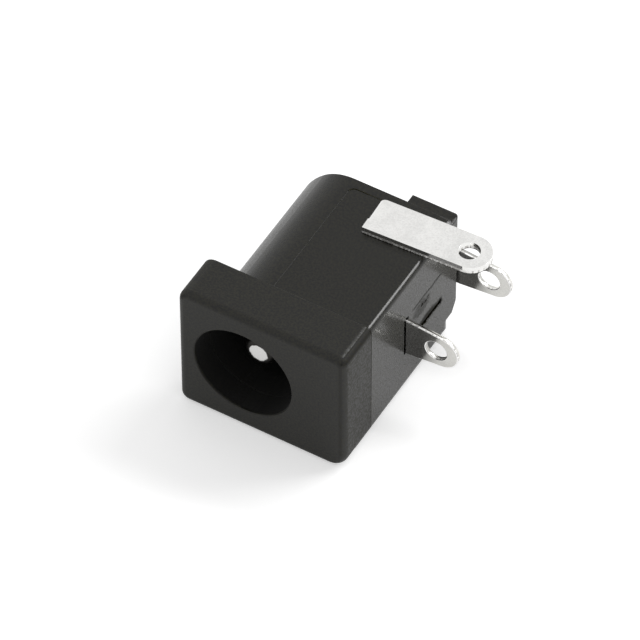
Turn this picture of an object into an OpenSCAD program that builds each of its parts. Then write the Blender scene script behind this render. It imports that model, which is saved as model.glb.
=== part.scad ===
// DC barrel jack for a board edge, lying on its side.
// Frame: the plug axis is Y and its mouth faces -Y, the board side is +X.
// The origin is the centre of the mouth in the flange's front face.

/* [Housing] */
// flange width across the jack
flange_w = 9.4; // [9.0:0.1:10.2]
// plug axis above the board
axis_h = 6.7; // [6.4:0.1:7.2]
// plug axis to the top of the flange
crown_h = 4.3; // [4.2:0.1:5.0]
// flange thickness
flange_t = 3.05; // [2.8:0.05:3.4]
// radius of the flange's crown corner on the switch terminal's side
flange_r = 0.85; // [0.5:0.05:1.2]
// radius of the flange's other crown corner
flange_low_r = 0.6; // [0.5:0.05:1.2]
// radius of the flange's board corner on the switch terminal's side
board_r = 0.55; // [0.5:0.05:1.2]
// radius of the flange's other board corner
board_low_r = 1.1; // [0.5:0.05:1.2]
// length of the housing behind the front face
body_len = 12.5; // [12.4:0.1:13.4]
// wall over the bore at the crown of the barrel
crown_wall = 0.5; // [0.4:0.05:0.8]
// radius of the body's board edge on the switch terminal's side
edge_r = 0.4; // [0.3:0.05:0.7]
// radius of the body's other board edge
low_edge_r = 0.7; // [0.3:0.05:0.9]
// height of the raised terminal seat on the rear face
seat_h = 0.68; // [0.5:0.02:0.9]

/* [Plug] */
// outer diameter of the plug that fits
plug_d = 5.5; // [5.3:0.1:5.6]
// centre pin diameter
pin_d = 2.0; // [1.8:0.1:2.4]
// centre pin tip behind the front face
tip_back = 1.75; // [1.6:0.05:2.2]

/* [Terminals] */
// sheet thickness of the spring and rear terminals
sheet_t = 0.3; // [0.25:0.05:0.35]
// sheet thickness of the switch terminal
switch_t = 0.5; // [0.4:0.05:0.5]
// tab width where it leaves the housing
tab_w = 2.8; // [2.6:0.1:3.0]
// tab width round the eye
tab_tip_w = 2.36; // [2.2:0.02:2.5]
// eye diameter
eye_d = 1.4; // [1.2:0.1:1.5]
// eye diameter of the switch terminal
switch_eye_d = 1.3; // [1.2:0.1:1.5]
// eye centre beyond the board face
eye_reach = 1.95; // [1.8:0.05:2.4]
// middle tab behind the front face
mid_tab_y = 7.0; // [6.9:0.05:7.2]
// turn of the switch terminal in its seat, in degrees
switch_turn = 2.4; // [1.6:0.2:2.4]

/* [Hidden] */
$fn = 96;
half_w = flange_w / 2;
// how far a cut runs past what it cuts
over = 1;
// housing body
side_step = 0.1;
board_step = 0.08;
body_hw = half_w - side_step;
board_x = axis_h - board_step;
front_r = 0.45;
body_corner_r = 3.0;
round_x = 0.1;
// corners of the flange in X and Z, with their radii
corners = [[-crown_h, -half_w, flange_low_r],
           [axis_h, -half_w, board_low_r],
           [axis_h, half_w, board_r],
           [-crown_h, half_w, flange_r]];
// socket: a straight land at the mouth, then a drafted barrel
plug_clear = 0.45;
mouth_r = plug_d / 2 + plug_clear;
mouth_lead = 0.08;
land_gap = 0.15;
land_len = tip_back - land_gap;
barrel_step = 0.1;
barrel_draft = 0.15;
barrel_r = mouth_r - barrel_step;
back_wall = 1.7;
cavity_y = body_len - back_wall;
// crown over the barrel: a wide arc that meets two corner arcs, kept to a sector
crown_x = barrel_r + crown_wall;
corner_z = body_hw - body_corner_r;
crown_k = crown_x + round_x - body_corner_r;
crown_cx = round_x + (pow(corner_z, 2) - pow(crown_k, 2)) / (2 * crown_k);
crown_r = crown_cx + crown_x;
sector_k = 4;
// spring pocket behind the board face
pocket_hw = 1.55;
pocket_x = 4.75;
pocket_lead = 0.6;
pocket_y = mid_tab_y - pocket_lead;
slot_clear = 0.1;
// slit in the board face
slit_gap = 0.75;
slit_y = mid_tab_y + slit_gap;
slit_len = 3.5;
slit_z = -0.93;
slit_w = 0.38;
slit_d = 1.1;
// panel that seats the switch terminal
panel_x = 0.23;
panel_end = 0.62;
panel_y = body_len - panel_end;
panel_d = 0.05;
panel_r = 0.4;
// seat of the rear terminal
seat_x = 3.55;
seat_step = 0.1;
seat_top = body_hw - seat_step;
seat_rise = 1.4;
seat_low = seat_rise - half_w;
seat_cut = 1.0;
seat_r = 0.28;
seat_y = body_len + seat_h;
boss_r = 1.9;
low_corner_r = 0.9;
// centre pin
pin_r = pin_d / 2;
tip_r = 0.38;
collar_lip = 0.5;
collar_r = pin_r + collar_lip;
collar_t = 0.5;
stem_r = 0.75;
tail_r = 0.55;
head_r = 1.05;
head_t = 0.35;
// tabs
eye_r = eye_d / 2;
eye_x = axis_h + eye_reach;
tip_off = 0.25;
pad_r = 1.6;
// spring leaf: its centre line in X and Y, from the tab to the free end
leaf_w = 2.4;
leaf_x = 4.5;
leaf_y = mid_tab_y + sheet_t / 2;
leaf_bend = 0.35;
leaf_gap = 0.5;
leaf_end = cavity_y - leaf_gap;
touch_k = 2 / 3;
touch_y = leaf_y + touch_k * (leaf_end - leaf_y);
touch_gap = 0.03;
touch_x = plug_d / 2 + touch_gap;
touch_ease = 0.05;
free_lift = 0.56;
leaf = [[leaf_x, leaf_y],
        [leaf_x - leaf_bend, leaf_y + leaf_bend],
        [touch_x + touch_ease, touch_y - leaf_bend],
        [touch_x, touch_y],
        [touch_x + free_lift, leaf_end]];
// switch terminal
switch_z = body_hw - panel_d;
switch_x = 2.4;
switch_w = 2.5;
switch_lead = 1.66;
switch_y = cavity_y - switch_lead;
switch_pivot_y = switch_y + switch_w / 2;
switch_bend = switch_t / 2;
switch_eye_off = 0.05;
switch_eye_x = eye_x + switch_eye_off;
switch_tip_off = 0.1;
tongue_inset = 0.76;
tongue_y = switch_y + tongue_inset;
tongue_end = 0.6;
tooth_back = 0.06;
plan_r = 0.45;
// colours
housing_col = [0.09, 0.09, 0.085];
metal_col = [0.78, 0.77, 0.74];

// stands a profile drawn in X and Z up along Y, from y0 on
module along_y(y0, len) {
    translate([0, y0 + len, 0])
        rotate([90, 0, 0])
            linear_extrude(len) children();
}

// round bar along Y
module bar(r, y0, len) {
    translate([0, y0, 0])
        rotate([-90, 0, 0])
            cylinder(r = r, h = len);
}

// profile of the flange's rim: w out along X, back along Y, with the front edge rounded
module rim(w) {
    edge_x = w - front_r;
    translate([0, front_r]) square([w, flange_t - front_r]);
    square([edge_x, flange_t]);
    intersection() {
        translate([edge_x, front_r]) circle(front_r);
        translate([edge_x, 0]) square(front_r);
    }
}

// one corner of the flange and the side that runs from it to the next corner
module flange_side(i) {
    r = corners[i][2];
    next_r = corners[(i + 1) % len(corners)][2];
    w = max(r, next_r);
    run = (i % 2 == 0 ? crown_h + axis_h : flange_w) - r - next_r;
    translate([corners[i][0], 0, corners[i][1]])
        rotate([0, -90 * i, 0])
            translate([r, 0, 0]) {
                translate([0, 0, r]) rotate([-90, 0, 0]) rotate_extrude() rim(r);
                translate([0, 0, w]) rotate([0, 90, 0]) linear_extrude(run) rim(w);
            }
}

module flange() {
    x0 = max(flange_r, flange_low_r) - crown_h;
    x1 = axis_h - max(board_r, board_low_r);
    z0 = max(flange_low_r, board_low_r) - half_w;
    z1 = half_w - max(flange_r, board_r);
    for (i = [0 : len(corners) - 1]) flange_side(i);
    translate([x0, 0, z0]) cube([x1 - x0, flange_t, z1 - z0]);
}

// section of the body in X and Z: flat board side, rounded crown
module body_outline() {
    low_z = low_edge_r - body_hw;
    high_z = body_hw - edge_r;
    sector_x = crown_cx + sector_k * (round_x - crown_cx);
    translate([round_x, low_z]) square([board_x - round_x, high_z - low_z]);
    translate([round_x, -body_hw]) square([board_x - low_edge_r - round_x, body_hw]);
    translate([round_x, 0]) square([board_x - edge_r - round_x, body_hw]);
    translate([board_x - low_edge_r, low_z]) circle(low_edge_r);
    translate([board_x - edge_r, high_z]) circle(edge_r);
    for (s = [-1, 1]) translate([round_x, s * corner_z]) circle(body_corner_r);
    intersection() {
        translate([crown_cx, 0]) circle(crown_r);
        polygon([[crown_cx, 0],
                 [sector_x, sector_k * corner_z],
                 [sector_x, -sector_k * corner_z]]);
    }
}

// seat of the rear terminal, in X and Y
module seat_outline() {
    y0 = body_len - seat_r;
    translate([seat_x, y0]) square([board_x - seat_r - seat_x, seat_y - y0]);
    translate([seat_x, y0]) square([board_x - seat_x, seat_y - seat_r - y0]);
    translate([board_x - seat_r, seat_y - seat_r]) circle(seat_r);
}

module rear_seat() {
    y0 = body_len - seat_r;
    intersection() {
        translate([0, 0, seat_low])
            linear_extrude(seat_top - seat_low) seat_outline();
        rotate([90, 0, 90]) linear_extrude(axis_h)
            polygon([[y0, seat_low],
                     [body_len, seat_low],
                     [seat_y, seat_low + seat_cut],
                     [seat_y, seat_top],
                     [y0, seat_top]]);
    }
    bar(boss_r, y0, seat_h + seat_r);
}

// rounds the rear corner on the board side below the seat
module low_corner() {
    translate([board_x - low_corner_r, body_len - low_corner_r, -half_w])
        difference() {
            cube([2 * low_corner_r, 2 * low_corner_r, seat_low + half_w]);
            cylinder(r = low_corner_r, h = 3 * half_w, center = true);
        }
}

// shallow panel in the side wall, in X and Y
module panel_outline() {
    translate([panel_x + panel_r, flange_t]) square([axis_h, panel_y - flange_t]);
    translate([panel_x, flange_t]) square([axis_h, panel_y - panel_r - flange_t]);
    translate([panel_x + panel_r, panel_y - panel_r]) circle(panel_r);
}

module switch_slot() {
    len = switch_y + switch_w - tongue_y;
    translate([switch_x - slot_clear, tongue_y - slot_clear, tongue_end - slot_clear])
        cube([switch_t + 2 * slot_clear, len + 2 * slot_clear, half_w]);
}

// rounds the edge of the mouth
module mouth_rounding() {
    lead_x = mouth_r + mouth_lead;
    rotate([-90, 0, 0]) rotate_extrude()
        difference() {
            translate([0, -over]) square([lead_x, over + mouth_lead]);
            translate([lead_x, mouth_lead]) circle(mouth_lead);
        }
}

module socket() {
    mouth_rounding();
    bar(mouth_r, -over, land_len + over);
    translate([0, land_len, 0]) rotate([-90, 0, 0])
        cylinder(r1 = barrel_r, r2 = barrel_r - barrel_draft, h = cavity_y - land_len);
    translate([0, pocket_y, -pocket_hw])
        cube([pocket_x, cavity_y - pocket_y, 2 * pocket_hw]);
    bar(stem_r, 0, seat_y + over);
}

// what the board face shows: the middle tab's slot and a narrow slit
module board_cuts() {
    slot_hw = tab_w / 2 + slot_clear;
    translate([pocket_x - over, mid_tab_y - slot_clear, -slot_hw])
        cube([axis_h, sheet_t + 2 * slot_clear, 2 * slot_hw]);
    translate([board_x - slit_d, slit_y, slit_z - slit_w / 2])
        cube([slit_d + over, slit_len - slit_w / 2, slit_w]);
    translate([board_x - slit_d, slit_y + slit_len - slit_w / 2, slit_z])
        rotate([0, 90, 0]) cylinder(r = slit_w / 2, h = slit_d + over);
}

module housing() color(housing_col) {
    difference() {
        union() {
            flange();
            along_y(flange_t / 2, body_len - flange_t / 2) body_outline();
            rear_seat();
        }
        socket();
        board_cuts();
        low_corner();
        switch_slot();
        translate([0, 0, switch_z]) linear_extrude(over) panel_outline();
    }
}

// turned pin: flat tip with a rounded rim, collar, stem and riveted head
module centre_pin() color(metal_col)
    rotate([-90, 0, 0]) rotate_extrude() {
        translate([pin_r - tip_r, tip_back + tip_r]) circle(tip_r);
        translate([0, tip_back]) square([pin_r - tip_r, cavity_y - tip_back]);
        translate([0, tip_back + tip_r]) square([pin_r, cavity_y - tip_back - tip_r]);
        translate([0, cavity_y - collar_t]) square([collar_r, collar_t]);
        translate([0, cavity_y - collar_t]) square([stem_r, seat_y - cavity_y + collar_t]);
        translate([0, cavity_y]) square([tail_r, seat_y + sheet_t - cavity_y]);
        translate([0, seat_y + sheet_t]) square([head_r, head_t]);
    }

// outline of a solder tab in X and Z, from x0 to its round tip
module tab_outline(x0) {
    tip_x = eye_x + tip_off;
    polygon([[x0, -tab_w / 2],
             [axis_h, -tab_w / 2],
             [tip_x, -tab_tip_w / 2],
             [tip_x, tab_tip_w / 2],
             [axis_h, tab_w / 2],
             [x0, tab_w / 2]]);
    translate([tip_x, 0]) circle(tab_tip_w / 2);
}

module rear_terminal() color(metal_col)
    difference() {
        along_y(seat_y, sheet_t) {
            tab_outline(0);
            circle(pad_r);
        }
        bar(tail_r, body_len, body_len);
        translate([eye_x, 0, 0]) bar(eye_r, body_len, body_len);
    }

// one straight piece of the leaf, with a round end at its first point
module leaf_piece(a, b) {
    d = b - a;
    translate(a) rotate([0, 0, atan2(d[1], d[0])])
        translate([0, -sheet_t / 2]) square([norm(d), sheet_t]);
    translate(a) circle(sheet_t / 2);
}

module spring_terminal() color(metal_col) {
    difference() {
        along_y(mid_tab_y, sheet_t) tab_outline(pocket_x + slot_clear);
        translate([eye_x, 0, 0]) bar(eye_r, 0, body_len);
    }
    translate([leaf_x, mid_tab_y, -leaf_w / 2])
        cube([pocket_x + 2 * slot_clear - leaf_x, sheet_t, leaf_w]);
    translate([0, 0, -leaf_w / 2]) linear_extrude(leaf_w) {
        for (i = [0 : len(leaf) - 2]) leaf_piece(leaf[i], leaf[i + 1]);
        translate(leaf[len(leaf) - 1]) circle(sheet_t / 2);
    }
}

// plan of the switch terminal in X and Y, before it is turned
module switch_outline() {
    y1 = switch_y + switch_w;
    tip_x = switch_eye_x + switch_tip_off;
    translate([switch_x, switch_y]) square([tip_x - switch_x, switch_w - plan_r]);
    translate([switch_x + plan_r, switch_y]) square([tip_x - switch_x - plan_r, switch_w]);
    translate([switch_x + plan_r, y1 - plan_r]) circle(plan_r);
    translate([tip_x, switch_pivot_y]) circle(switch_w / 2);
}

// section of the bent strip in X and Z: tongue, bend and flat
module strip_section() {
    bend_x = switch_x + switch_bend;
    bend_z = switch_z + switch_t - switch_bend;
    translate([switch_x, tongue_end]) square([switch_t, bend_z - tongue_end]);
    translate([bend_x, bend_z]) circle(switch_bend);
    translate([bend_x, switch_z]) square([eye_x, switch_t]);
}

module switch_terminal() color(metal_col)
    translate([switch_x, switch_pivot_y, 0])
        rotate([0, 0, switch_turn])
            translate([-switch_x, -switch_pivot_y, 0])
                difference() {
                    intersection() {
                        union() {
                            along_y(tongue_y, switch_w) strip_section();
                            translate([switch_x + tooth_back, 0, switch_z])
                                cube([eye_x, tongue_y, switch_t]);
                        }
                        linear_extrude(flange_w) switch_outline();
                    }
                    translate([switch_eye_x, switch_pivot_y, 0])
                        cylinder(r = switch_eye_d / 2, h = flange_w);
                }

housing();
centre_pin();
rear_terminal();
spring_terminal();
switch_terminal();
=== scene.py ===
import math

import bpy
from mathutils import Matrix, Vector


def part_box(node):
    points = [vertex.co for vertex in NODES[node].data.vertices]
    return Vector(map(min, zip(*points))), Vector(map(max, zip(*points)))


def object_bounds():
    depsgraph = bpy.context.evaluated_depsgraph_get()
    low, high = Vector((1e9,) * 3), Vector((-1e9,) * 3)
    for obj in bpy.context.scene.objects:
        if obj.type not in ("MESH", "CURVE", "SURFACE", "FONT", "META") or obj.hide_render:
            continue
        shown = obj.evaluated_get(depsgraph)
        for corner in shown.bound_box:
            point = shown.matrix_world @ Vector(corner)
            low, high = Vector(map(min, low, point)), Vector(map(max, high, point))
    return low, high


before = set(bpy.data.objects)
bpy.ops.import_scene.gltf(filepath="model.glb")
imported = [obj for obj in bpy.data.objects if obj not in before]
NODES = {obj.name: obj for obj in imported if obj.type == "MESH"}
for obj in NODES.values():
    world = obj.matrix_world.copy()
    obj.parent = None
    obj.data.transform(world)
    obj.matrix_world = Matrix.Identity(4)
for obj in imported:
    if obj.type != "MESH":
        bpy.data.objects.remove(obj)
cad_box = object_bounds()
MM = 0.001
FLOOR_Z = cad_box[0].z


# ---------------------------------------------------------------- camera

AZIMUTH, ELEVATION, ROLL = 30.457, 49.026, -0.131
DISTANCE = 368.5 * MM
LENS, SENSOR = 361.3, 36
AIM_AT = Vector((0.2, 6.0, -0.2)) * MM
AIM_RIGHT, AIM_UP = 1.193 * MM, -0.679 * MM
CLIP_START, CLIP_END = 0.01, 2


def make_camera():
    """A long lens from above the mouth, on the board side."""
    azimuth, elevation, roll = (math.radians(v) for v in (AZIMUTH, ELEVATION, ROLL))
    outward = Vector((math.sin(azimuth), -math.cos(azimuth), 0))
    back = outward * math.cos(elevation) + Vector((0, 0, math.sin(elevation)))
    right = Vector((math.cos(azimuth), math.sin(azimuth), 0))
    up = back.cross(right)
    rolled_right = right * math.cos(roll) + up * math.sin(roll)
    rolled_up = up * math.cos(roll) - right * math.sin(roll)
    data = bpy.data.cameras.new("camera")
    data.lens = LENS
    data.sensor_width = SENSOR
    data.clip_start = CLIP_START
    data.clip_end = CLIP_END
    camera = bpy.data.objects.new("camera", data)
    bpy.context.scene.collection.objects.link(camera)
    place = AIM_AT + rolled_right * AIM_RIGHT + rolled_up * AIM_UP + back * DISTANCE
    turn = Matrix((rolled_right, rolled_up, back)).transposed().to_4x4()
    camera.matrix_world = Matrix.Translation(place) @ turn
    bpy.context.scene.camera = camera


# ---------------------------------------------------------------- node helpers

class Nodes:
    """Short names for making the nodes of one tree."""

    def __init__(self, tree):
        self.tree = tree

    def add(self, kind, **settings):
        node = self.tree.nodes.new(kind)
        for key, value in settings.items():
            setattr(node, key, value)
        return node

    def feed(self, socket, value):
        """Links a socket to another one, or sets it to a plain value."""
        if isinstance(value, bpy.types.NodeSocket):
            self.tree.links.new(value, socket)
        else:
            socket.default_value = value

    def math(self, operation, a, b=0.0, c=0.0):
        node = self.add("ShaderNodeMath", operation=operation)
        for socket, value in zip(node.inputs, (a, b, c)):
            self.feed(socket, value)
        return node.outputs[0]

    def product(self, first, *others):
        for other in others:
            first = self.math("MULTIPLY", first, other)
        return first

    def greatest(self, first, *others):
        for other in others:
            first = self.math("MAXIMUM", first, other)
        return first

    def opposite(self, value):
        """1 where value is 0 and 0 where it is 1."""
        return self.math("SUBTRACT", 1.0, value)

    def added(self, value, amounts, zones):
        """value, and in each zone that amounts names its amount more."""
        for name, amount in amounts.items():
            value = self.math("MULTIPLY_ADD", zones[name], amount, value)
        return value

    def step(self, value, low, high, soft=True):
        """0 below low and 1 above high."""
        node = self.add("ShaderNodeMapRange", clamp=True)
        node.interpolation_type = "SMOOTHSTEP" if soft else "LINEAR"
        self.feed(node.inputs["Value"], value)
        node.inputs["From Min"].default_value = low
        node.inputs["From Max"].default_value = high
        return node.outputs["Result"]

    def drop(self, value, low, high):
        """1 below low and 0 above high."""
        return self.opposite(self.step(value, low, high))

    def band(self, value, low, high, edge):
        """1 between low and high, fading to 0 over edge on both sides."""
        rise = self.step(value, low - edge, low)
        fall = self.step(value, high, high + edge)
        return self.math("SUBTRACT", rise, fall)

    def spot(self, places, centre, radii):
        """1 at the centre of an ellipse in two coordinates, fading to 0 at its rim."""
        parts = []
        for value, middle, radius in zip(places, centre, radii):
            offset = self.math("SUBTRACT", value, middle)
            offset = self.math("DIVIDE", offset, radius)
            parts.append(self.product(offset, offset))
        away = self.math("SQRT", self.math("ADD", *parts))
        return self.drop(away, 0.0, 1.0)

    def scale(self, value, low, high):
        """low where value is 0 and high where it is 1."""
        node = self.add("ShaderNodeMapRange", clamp=True)
        self.feed(node.inputs["Value"], value)
        node.inputs["To Min"].default_value = low
        node.inputs["To Max"].default_value = high
        return node.outputs["Result"]

    def mixed(self, kind, factor, a, b):
        """a where factor is 0 and b where it is 1, for a FLOAT, a VECTOR or an RGBA."""
        node = self.add("ShaderNodeMix", data_type=kind)
        self.feed(node.inputs["Factor"], factor)
        first = {"FLOAT": 2, "VECTOR": 4, "RGBA": 6}[kind]
        self.feed(node.inputs[first], a)
        self.feed(node.inputs[first + 1], b)
        return node.outputs[{"FLOAT": 0, "VECTOR": 1, "RGBA": 2}[kind]]

    def place(self, stretch=(1, 1, 1)):
        """Object coordinates in millimetres, stretched."""
        node = self.add("ShaderNodeMapping", vector_type="POINT")
        node.inputs["Scale"].default_value = [s / MM for s in stretch]
        self.feed(node.inputs["Vector"], self.add("ShaderNodeTexCoord").outputs["Object"])
        return node.outputs["Vector"]

    def noise(self, size, detail=3.0, roughness=0.5, stretch=(1, 1, 1)):
        """Noise with features of about size millimetres, from 0 to 1."""
        node = self.add("ShaderNodeTexNoise")
        node.inputs["Scale"].default_value = 1 / size
        node.inputs["Detail"].default_value = detail
        node.inputs["Roughness"].default_value = roughness
        self.feed(node.inputs["Vector"], self.place(stretch))
        return node.outputs["Fac"]

    def bump(self, height, depth, normal=None):
        """A bump on normal whose height of 1 is depth millimetres."""
        node = self.add("ShaderNodeBump")
        node.inputs["Strength"].default_value = 1.0
        node.inputs["Distance"].default_value = depth * MM
        self.feed(node.inputs["Height"], height)
        if normal is not None:
            self.feed(node.inputs["Normal"], normal)
        return node.outputs["Normal"]

    def rounded(self, radius):
        """Normals that run round the edges, radius in millimetres."""
        node = self.add("ShaderNodeBevel", samples=8)
        node.inputs["Radius"].default_value = radius * MM
        return node.outputs["Normal"]

    def split(self, vector):
        node = self.add("ShaderNodeSeparateXYZ")
        self.feed(node.inputs[0], vector)
        return node.outputs

    def where(self):
        """X, Y and Z in millimetres."""
        return self.split(self.place())

    def facing(self):
        """X, Y and Z of the face's normal."""
        return self.split(self.add("ShaderNodeNewGeometry").outputs["True Normal"])

    def off_axis(self, x, z):
        """Distance from the plug axis."""
        return self.math("SQRT", self.math("MULTIPLY_ADD", x, x, self.product(z, z)))

    def seen_rays(self):
        """1 for camera rays, and 1 for glossy and transmission rays."""
        path = self.add("ShaderNodeLightPath").outputs
        mirrored = self.greatest(path["Is Glossy Ray"], path["Is Transmission Ray"])
        return path["Is Camera Ray"], mirrored


def empty_material(name):
    """A new material, its Nodes and the socket for its surface."""
    material = bpy.data.materials.new(name)
    material.use_nodes = True
    n = Nodes(material.node_tree)
    n.tree.nodes.clear()
    return material, n, n.add("ShaderNodeOutputMaterial").inputs["Surface"]


def principled(name):
    """A new material, its Nodes and the inputs of its shader."""
    material, n, surface = empty_material(name)
    shader = n.add("ShaderNodeBsdfPrincipled")
    n.feed(surface, shader.outputs["BSDF"])
    return material, n, shader.inputs


# ---------------------------------------------------------------- plastic
# Places and widths are in millimetres.

PLASTIC_COLOUR = (0.0060, 0.0056, 0.0028)
PLASTIC_IOR = 1.43
GRAIN_SIZE, CLOUD_SIZE = 0.13, 1.4
SPECKLE = (0.38, 0.62)

# how light the plastic is: in the grain, the clouds, the mouth (darker, painted shade) and on the
# panel's end wall (lighter, painted highlight)
GRAIN_TONE, CLOUD_TONE, MOUTH_PAINTED_SHADE, PANEL_END_PAINTED_HIGHLIGHT = 1.8, 0.2, 0.2, 12.0

# where the zones of the housing are
FLANGE_T = 3.05
FLANGE_FADE = 0.02
BOARD_FACE_X = (6.4, 6.5)
SEAM_FROM, SEAM_TO, SEAM_FADE = 3.01, 3.15, 0.03
MOUTH_R, MOUTH_Y, MOUTH_FADE = 3.35, 0.12, 0.1
PANEL_END_Y, PANEL_END_Z, PANEL_END_FADE = (11.25, 12.15), (4.50, 4.54), 0.05
LONG_EDGE_X, LONG_EDGE_Z = (5.70, 5.80), (3.9, 4.0)
CROWN_SIDE_X = (1.0, 1.6)

# how far a face's normal leans to a side where a zone starts and where it is full
LEANS_BOARDWARDS, LEANS_CROWNWARDS, LEANS_FORWARDS = (0.6, 0.95), (0.05, 0.5), (0.5, 0.9)
FACES_BOARD, FACES_FORWARDS = (0.8, 0.98), (0.2, 0.4)
LIP_LEAN, TOP_EDGE_LEAN, LEAN_FADE = (0.40, 0.92), (0.12, 0.46), 0.06
LIP_RISE, CORNER_RISE = (0.25, 0.40), (0.05, 0.30)

# marks on the board face: centres and radii in Y and Z
WORN_SPOT = ((8.9, 0.75), (1.9, 1.2))
WORN_SIZE, WORN_NOISE, WORN_EDGE = 0.5, 0.9, (0.75, 1.25)
PITS = (
    ((8.95, 0.92), (0.22, 0.17)),
    ((9.32, 0.86), (0.20, 0.16)),
    ((9.62, 1.02), (0.12, 0.10)),
)
SLIT_RIM = ((9.6, -0.78), (2.1, 0.75))
SLIT_END = ((11.0, -0.90), (0.55, 0.60))
RIM_SIZE, RIM_NOISE, RIM_EDGE = 0.3, 0.3, (0.25, 0.95)
FLOW_Z, FLOW_R, FLOW_SIZE, FLOW_WANDER = 1.33, 0.24, 1.2, 0.25
FLOW_FROM, FLOW_TO, FLOW_FADE = 8.2, 10.9, 0.7

# roughness of the flange and the body, and what each zone adds, plainly or in the grain
FLANGE_ROUGHNESS, BODY_ROUGHNESS = 0.28, 0.13
ROUGHER = {
    "flange_corner": 0.32,
    "crown": 0.09,
    "cloud": 0.06,
    "front": 0.20,
    "board_side": 0.08,
    "board_face": -0.06,
    "seam": 0.80,
    "lip": 0.35,
    "worn": 0.28,
    "slit_rim": 0.70,
    "flow": 0.40,
    "pits": 0.90,
    "mouth": 0.50,
}
ROUGHER_GRAIN = {"crown": 0.10, "top_edge": 0.20, "boardwards": 0.22, "board_face": 0.05}

# depth of the grain on the flange and the body, and what each zone adds
GRAIN_DEPTH = 0.0025
FLANGE_GRAIN, BODY_GRAIN = 2.0, 0.9
COARSER = {"board_face": -0.6, "scuffed": 2.0}
DEEPER = {"pits": -60.0, "flow": -2.4}

# how far edges look rounded, and how much of that is lost in patches and on the crown side
EDGE_R, LONG_EDGE_R = 0.06, 0.22
PATCH_SIZE, PATCH_EDGE = 0.6, (0.45, 0.58)
PATCH_LOSS, CROWN_LOSS = 0.8, 0.72


def flange_zones(n, x, y, z, facing):
    """Masks from 0 to 1 for the flange, the mouth and the seam behind the flange."""
    nx, ny, nz = facing
    flange = n.drop(y, FLANGE_T - FLANGE_FADE, FLANGE_T + FLANGE_FADE)
    boardwards = n.step(nx, *LEANS_BOARDWARDS)
    crownwards = n.step(n.product(nx, -1.0), *LEANS_CROWNWARDS)
    in_mouth = n.drop(n.off_axis(x, z), MOUTH_R, MOUTH_R + MOUTH_FADE)
    return {
        "front": n.step(n.product(ny, -1.0), *LEANS_FORWARDS),
        "boardwards": boardwards,
        "board_side": n.product(boardwards, flange),
        "lip": n.product(n.band(nx, *LIP_LEAN, LEAN_FADE), n.step(nz, *LIP_RISE), flange),
        "top_edge": n.product(n.band(nx, *TOP_EDGE_LEAN, LEAN_FADE), flange),
        "flange_corner": n.product(crownwards, n.step(nz, *CORNER_RISE), flange),
        "seam": n.product(boardwards, n.band(y, SEAM_FROM, SEAM_TO, SEAM_FADE)),
        "mouth": n.product(in_mouth, n.step(y, MOUTH_Y, MOUTH_Y + MOUTH_FADE / 2)),
    }


def body_zones(n, x, y, z, facing):
    """Masks from 0 to 1 for the crown, the panel's end, the long edge and the board face."""
    nx, ny, _ = facing
    body = n.step(y, FLANGE_T - FLANGE_FADE, FLANGE_T + FLANGE_FADE)
    crownwards = n.step(n.product(nx, -1.0), *LEANS_CROWNWARDS)
    forwards = n.step(n.product(ny, -1.0), *FACES_FORWARDS)
    near_panel_end = n.product(n.band(y, *PANEL_END_Y, PANEL_END_FADE), n.step(z, *PANEL_END_Z))
    on_board_side = n.step(x, *BOARD_FACE_X)
    return {
        "body": body,
        "crown": n.product(crownwards, body),
        "crown_side": n.product(n.drop(x, *CROWN_SIDE_X), body),
        "panel_end": n.product(near_panel_end, forwards),
        "long_edge": n.product(n.step(x, *LONG_EDGE_X), n.step(z, *LONG_EDGE_Z), body),
        "board_face": n.product(n.step(nx, *FACES_BOARD), on_board_side, body),
    }


def board_face_marks(n, y, z):
    """Wear, the slit's dull rim, a flow mark and pits on the board face, each from 0 to 1."""
    patchy = n.noise(WORN_SIZE, detail=4.0, roughness=0.65)
    worn = n.math("MULTIPLY_ADD", patchy, WORN_NOISE, n.spot((y, z), *WORN_SPOT))
    flow_z = n.math("MULTIPLY_ADD", n.noise(FLOW_SIZE, detail=2.0), FLOW_WANDER, FLOW_Z)
    flow = n.spot((z, z), (flow_z, flow_z), (FLOW_R, FLOW_R))
    rim = n.greatest(n.spot((y, z), *SLIT_RIM), n.spot((y, z), *SLIT_END))
    rim = n.math("MULTIPLY_ADD", n.noise(RIM_SIZE), RIM_NOISE, rim)
    return {
        "worn": n.step(worn, *WORN_EDGE),
        "flow": n.product(flow, n.band(y, FLOW_FROM, FLOW_TO, FLOW_FADE)),
        "pits": n.greatest(*(n.spot((y, z), *pit) for pit in PITS)),
        "slit_rim": n.step(rim, *RIM_EDGE),
    }


def housing_zones(n):
    """Every mask of the housing by its name."""
    x, y, z = n.where()
    facing = n.facing()
    zones = flange_zones(n, x, y, z, facing)
    zones.update(body_zones(n, x, y, z, facing))
    for name, mark in board_face_marks(n, y, z).items():
        zones[name] = n.product(mark, zones["board_face"])
    zones["cloud"] = n.noise(CLOUD_SIZE)
    zones["grain"] = n.noise(GRAIN_SIZE, roughness=0.65)
    zones["speckle"] = n.step(zones["grain"], *SPECKLE)
    zones["scuffed"] = n.greatest(zones["worn"], zones["crown"])
    return zones


def plastic_colour(n, zones):
    """Nearly black, with the grain a little lighter, the mouth darkened by painted shade and the
    panel's end wall lightened by a painted highlight.
    """
    tone = n.scale(zones["cloud"], 0.0, CLOUD_TONE)
    tone = n.math("MULTIPLY_ADD", zones["speckle"], GRAIN_TONE, tone)
    # painted shade: the mouth's colour is darkened
    tone = n.product(tone, n.scale(zones["mouth"], 1.0, MOUTH_PAINTED_SHADE))
    # painted highlight: the panel's end wall is coloured lighter
    tone = n.math("MULTIPLY_ADD", zones["panel_end"], PANEL_END_PAINTED_HIGHLIGHT, tone)
    colour = n.add("ShaderNodeVectorMath", operation="SCALE")
    colour.inputs[0].default_value = PLASTIC_COLOUR
    n.feed(colour.inputs["Scale"], tone)
    return colour.outputs[0]


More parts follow.
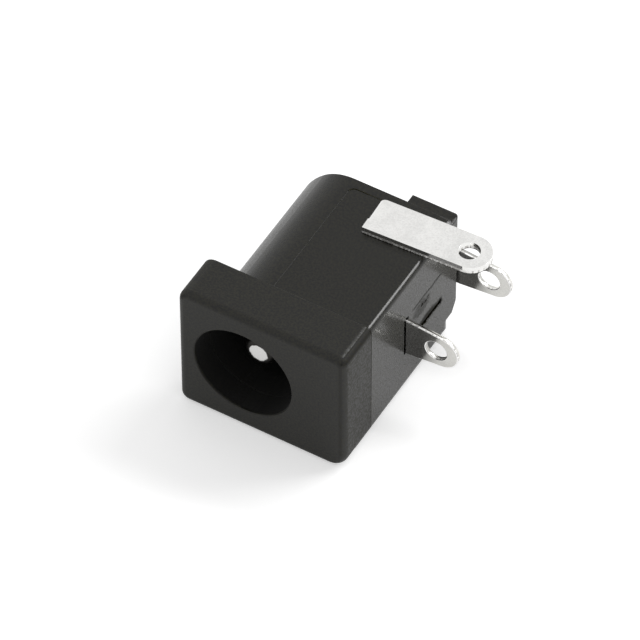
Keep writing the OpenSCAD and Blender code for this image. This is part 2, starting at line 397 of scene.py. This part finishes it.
def plastic_roughness(n, zones):
    """Matter on the flange, and smooth on the board face between its marks."""
    in_grain = n.added(0.0, ROUGHER_GRAIN, zones)
    rough = n.scale(zones["body"], FLANGE_ROUGHNESS, BODY_ROUGHNESS)
    rough = n.added(rough, ROUGHER, zones)
    return n.math("MULTIPLY_ADD", zones["speckle"], in_grain, rough)


def plastic_normal(n, zones):
    """Softened edges, broken in patches, with the grain, pits and flow mark on them."""
    lost = n.product(n.step(n.noise(PATCH_SIZE), *PATCH_EDGE), PATCH_LOSS)
    lost_crown = n.product(zones["crown_side"], CROWN_LOSS)
    lost = n.math("MULTIPLY_ADD", n.opposite(lost), lost_crown, lost)
    lost = n.greatest(lost, zones["mouth"], zones["panel_end"])
    plain = n.add("ShaderNodeNewGeometry").outputs["Normal"]
    edges = n.mixed("VECTOR", lost, n.rounded(EDGE_R), plain)
    edges = n.mixed("VECTOR", zones["long_edge"], edges, n.rounded(LONG_EDGE_R))
    coarse = n.added(n.scale(zones["body"], FLANGE_GRAIN, BODY_GRAIN), COARSER, zones)
    height = n.added(n.product(zones["grain"], coarse), DEEPER, zones)
    return n.bump(height, GRAIN_DEPTH, normal=edges)


def black_plastic():
    """Moulded black plastic."""
    material, n, shader = principled("black_plastic")
    zones = housing_zones(n)
    n.feed(shader["Base Color"], plastic_colour(n, zones))
    n.feed(shader["Roughness"], plastic_roughness(n, zones))
    n.feed(shader["Normal"], plastic_normal(n, zones))
    shader["IOR"].default_value = PLASTIC_IOR
    return material


# ---------------------------------------------------------------- metal
# Places and widths are in millimetres.

BLACK = (0.0, 0.0, 0.0, 1)
TIN_LOW, TIN_HIGH = 0.84, 0.98
# painted highlight: a lighter colour on the sheets' rounded rims
RIM_PAINTED_HIGHLIGHT = (1.0, 0.995, 0.985, 1)
TEAR_LOW, TEAR_HIGH = (0.66, 0.65, 0.63, 1), (1.0, 0.995, 0.98, 1)
TEAR_ROUGHNESS, TEAR_HEIGHT = 0.45, 2.5
# painted shade: a dark line along the cut edges beside the sheet's back face
SEAM_PAINTED_SHADE = (0.10, 0.095, 0.09, 1)
# where the painted shade at the root fades out, along X
ROOT_X = (7.6, 9.0)
FINE_SIZE, CLOUDY_SIZE, MOTTLE = 0.10, 0.9, (0.34, 0.66)
STREAK_SIZE, STREAK_STRETCH, STREAK = 0.15, 0.2, (0.45, 0.56)
GLOSS_SPREAD, TIN_DEPTH = 1.6, 0.01

# how much of the sheet's thickness the seam's painted shade and the cut's torn part reach, and
# how unevenly
PAINTED_SHADE_DEPTH, TORN_DEPTH, UNEVEN = (0.10, 0.16), (0.42, 0.52), 0.05
# how far a normal leans to the sheet's faces, from the cut edges to the faces
CUT_LEAN, RIM_LEAN, RIM_FADE = (0.2, 0.75), (0.55, 0.97), 0.02

# the side colour is a painted reflection: the dark mouth mirrored in the tip's side
PIN_FACE, PIN_SIDE = (0.98, 0.975, 0.96, 1), (0.04, 0.038, 0.036, 1)
PIN_SMOOTH, PIN_ROUGH, PIN_SIDE_ROUGHER = 0.05, 0.12, 0.3
PIN_FACE_R, PIN_TIP_Y = (0.66, 0.74), (2.6, 3.0)
PIN_UNEVEN_SIZE, PIN_UNEVEN, PIN_POLISH_SIZE = 0.35, 0.25, 0.3


def tin_zones(n, across, back, thickness):
    """Masks from 0 to 1 for a stamped sheet's rim, streaks, torn part, seam and root; the seam
    and root masks carry painted shade and the rim mask a painted highlight.
    """
    along = dict(zip("xyz", zip(n.where(), n.facing())))
    depth, normal = along[across]
    flat = n.math("ABSOLUTE", normal)
    edge = n.drop(flat, *CUT_LEAN)
    stretch = [STREAK_STRETCH if axis == across else 1 for axis in "xyz"]
    streaks = n.step(n.noise(STREAK_SIZE, detail=1.0, stretch=stretch), *STREAK)
    depth = n.step(depth, back, back + thickness, soft=False)
    depth = n.math("MULTIPLY_ADD", streaks, UNEVEN, depth)
    return {
        "rim": n.band(flat, *RIM_LEAN, RIM_FADE),
        "streaks": streaks,
        "torn": n.product(n.drop(depth, *TORN_DEPTH), edge),
        "seam": n.product(n.drop(depth, *PAINTED_SHADE_DEPTH), edge),
        "root": n.drop(along["x"][0], *ROOT_X),
    }


def tin_colour(n, zones, mottle, tint, painted_root_shade):
    """Mottled faces with streaks on the torn part, painted shade at the root and along the seam,
    and a painted highlight on the rim.
    """
    low, high = ([level * v for v in tint] + [1] for level in (TIN_LOW, TIN_HIGH))
    colour = n.mixed("RGBA", mottle, low, high)
    # painted shade: the faces darken towards the housing
    colour = n.mixed("RGBA", n.product(zones["root"], painted_root_shade), colour, BLACK)
    # painted highlight on the rim
    colour = n.mixed("RGBA", zones["rim"], colour, RIM_PAINTED_HIGHLIGHT)
    tear = n.mixed("RGBA", zones["streaks"], TEAR_LOW, TEAR_HIGH)
    colour = n.mixed("RGBA", zones["torn"], colour, tear)
    # painted shade along the seam
    return n.mixed("RGBA", zones["seam"], colour, SEAM_PAINTED_SHADE)


def tin_plate(name, across, back, thickness, gloss, tint, painted_root_shade):
    """Tin plated sheet: mottled faces, and sheared edges with a smooth and a torn part.

    The sheet lies across the axis named, from back in millimetres. gloss is the roughness of
    its faces, and the shade at the root is how much painted shade darkens them beside the
    housing.
    """
    material, n, shader = principled(name)
    zones = tin_zones(n, across, back, thickness)
    fine = n.noise(FINE_SIZE, roughness=0.6)
    cloudy = n.noise(CLOUDY_SIZE, detail=4.0, roughness=0.6)
    mottle = n.step(n.math("MULTIPLY_ADD", fine, 0.5, n.product(cloudy, 0.5)), *MOTTLE)
    rough = n.scale(mottle, gloss, gloss * GLOSS_SPREAD)
    height = n.math("MULTIPLY_ADD", n.product(zones["streaks"], zones["torn"]), TEAR_HEIGHT, fine)
    n.feed(shader["Base Color"], tin_colour(n, zones, mottle, tint, painted_root_shade))
    n.feed(shader["Roughness"], n.math("MULTIPLY_ADD", zones["torn"], TEAR_ROUGHNESS, rough))
    n.feed(shader["Normal"], n.bump(height, TIN_DEPTH * gloss))
    shader["Metallic"].default_value = 1.0
    return material


def polished_pin():
    """Bright metal. The side of the tip is painted dark, a painted reflection of the mouth that
    is dark all round it.
    """
    material, n, shader = principled("polished_pin")
    x, y, z = n.where()
    away = n.math("MULTIPLY_ADD", n.noise(PIN_UNEVEN_SIZE), PIN_UNEVEN, n.off_axis(x, z))
    side = n.product(n.step(away, *PIN_FACE_R), n.drop(y, *PIN_TIP_Y))
    rough = n.scale(n.noise(PIN_POLISH_SIZE), PIN_SMOOTH, PIN_ROUGH)
    # painted reflection: the tip's side is coloured dark
    n.feed(shader["Base Color"], n.mixed("RGBA", side, PIN_FACE, PIN_SIDE))
    n.feed(shader["Roughness"], n.math("MULTIPLY_ADD", side, PIN_SIDE_ROUGHER, rough))
    shader["Metallic"].default_value = 1.0
    return material


# ---------------------------------------------------------------- pieces

# thickness of the rear and spring terminals, and of the switch terminal, in millimetres
THIN, THICK = 0.3, 0.5
WELD_WITHIN = 0.001
FLAT_ANGLE, SHARP_ANGLE = math.radians(1), math.radians(35)
BEVEL_SEGMENTS = 3
THIN_EDGE_R, THICK_EDGE_R = 0.05, 0.08


def dress(node, material):
    """Gives a CAD node its material."""
    for slot in NODES[node].material_slots:
        slot.material = material


def soften(node, width):
    """Rounds a CAD node's sharp edges with modifiers, without touching its mesh."""
    stack = NODES[node].modifiers
    weld = stack.new("weld", "WELD")
    weld.merge_threshold = WELD_WITHIN * MM
    flat = stack.new("flat", "DECIMATE")
    flat.decimate_type = "DISSOLVE"
    flat.angle_limit = FLAT_ANGLE
    bevel = stack.new("bevel", "BEVEL")
    bevel.width = width * MM
    bevel.segments = BEVEL_SEGMENTS
    bevel.limit_method = "ANGLE"
    bevel.angle_limit = SHARP_ANGLE
    bevel.harden_normals = False
    normals = stack.new("normals", "WEIGHTED_NORMAL")
    normals.keep_sharp = False


def dress_pieces():
    """Materials for the five pieces, and softened edges for the three stamped ones."""
    rear_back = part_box("rear_terminal")[0].y / MM
    spring_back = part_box("spring_terminal")[0].y / MM
    switch_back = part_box("switch_terminal")[1].z / MM - THICK
    # the last number of each is how much painted shade darkens the faces beside the housing
    rear = tin_plate("rear_tin", "y", rear_back, THIN, 0.10, (0.90, 0.89, 0.85), 0.4)
    spring = tin_plate("spring_tin", "y", spring_back, THIN, 0.08, (0.88, 0.87, 0.83), 0.55)
    switch = tin_plate("switch_tin", "z", switch_back, THICK, 0.10, (1.0, 0.995, 0.975), 0.0)
    dress("housing", black_plastic())
    dress("centre_pin", polished_pin())
    dress("rear_terminal", rear)
    dress("spring_terminal", spring)
    dress("switch_terminal", switch)
    soften("rear_terminal", THIN_EDGE_R)
    soften("spring_terminal", THIN_EDGE_R)
    soften("switch_terminal", THICK_EDGE_R)


# ---------------------------------------------------------------- stage and light

# light from the world on surfaces, in mirrored rays and as the camera sees it
WORLD_LIGHT, WORLD_SHINE, WORLD_SEEN = 0.64, 0.87, 1.0
# the floor's colour, and how much lighter camera rays and mirrored rays find it
FLOOR_COLOUR, FLOOR_LIFT, FLOOR_SHINE = 0.80, 0.42, 0.26
FLOOR_HALF = 0.4
BOX_AIM = Vector((1.0, 6.0, 0.0)) * MM
BOX_WAY = Vector((0.41, 0.563, 0.717)).normalized()
BOX_LENGTHWISE = Vector((0.864, 0.0, -0.503))
BOX_AWAY = 0.6
BOX_LONG, BOX_WIDE = math.radians(42), math.radians(11)
BOX_RADIANCE = 11.0


def floor_material():
    """White, and lifted for camera rays and for mirrored rays."""
    material, n, surface = empty_material("floor")
    diffuse = n.add("ShaderNodeBsdfDiffuse")
    diffuse.inputs["Color"].default_value = (FLOOR_COLOUR, FLOOR_COLOUR, FLOOR_COLOUR, 1)
    lift = n.add("ShaderNodeEmission")
    camera, mirrored = n.seen_rays()
    shine = n.product(mirrored, FLOOR_SHINE)
    n.feed(lift.inputs["Strength"], n.math("MULTIPLY_ADD", camera, FLOOR_LIFT, shine))
    both = n.add("ShaderNodeAddShader")
    n.feed(both.inputs[0], diffuse.outputs[0])
    n.feed(both.inputs[1], lift.outputs[0])
    n.feed(surface, both.outputs[0])
    return material


def make_floor():
    """A square floor that the jack lies on."""
    signs = ((-1, -1), (1, -1), (1, 1), (-1, 1))
    corners = [(i * FLOOR_HALF, j * FLOOR_HALF, FLOOR_Z) for i, j in signs]
    mesh = bpy.data.meshes.new("floor")
    mesh.from_pydata(corners, [], [(0, 1, 2, 3)])
    mesh.materials.append(floor_material())
    floor = bpy.data.objects.new("floor", mesh)
    bpy.context.scene.collection.objects.link(floor)


def make_world():
    """Even light from all round, on a white background."""
    world = bpy.data.worlds.new("world")
    bpy.context.scene.world = world
    world.use_nodes = True
    n = Nodes(world.node_tree)
    camera, mirrored = n.seen_rays()
    strength = n.mixed("FLOAT", camera, WORLD_LIGHT, WORLD_SEEN)
    strength = n.mixed("FLOAT", mirrored, strength, WORLD_SHINE)
    background = n.tree.nodes["Background"].inputs
    background["Color"].default_value = (1, 1, 1, 1)
    n.feed(background["Strength"], strength)


def make_softbox():
    """A long softbox above and behind the board side."""
    data = bpy.data.lights.new("softbox", "AREA")
    data.shape = "RECTANGLE"
    data.size = 2 * BOX_AWAY * math.tan(BOX_LONG / 2)
    data.size_y = 2 * BOX_AWAY * math.tan(BOX_WIDE / 2)
    data.energy = BOX_RADIANCE * math.pi * data.size * data.size_y
    box = bpy.data.objects.new("softbox", data)
    bpy.context.scene.collection.objects.link(box)
    short = BOX_WAY.cross(BOX_LENGTHWISE).normalized()
    turn = Matrix((short.cross(BOX_WAY), short, BOX_WAY)).transposed().to_4x4()
    box.matrix_world = Matrix.Translation(BOX_AIM + BOX_WAY * BOX_AWAY) @ turn
    box.visible_camera = False


make_camera()
dress_pieces()
make_floor()
make_world()
make_softbox()
bpy.context.scene.view_settings.view_transform = "Standard"
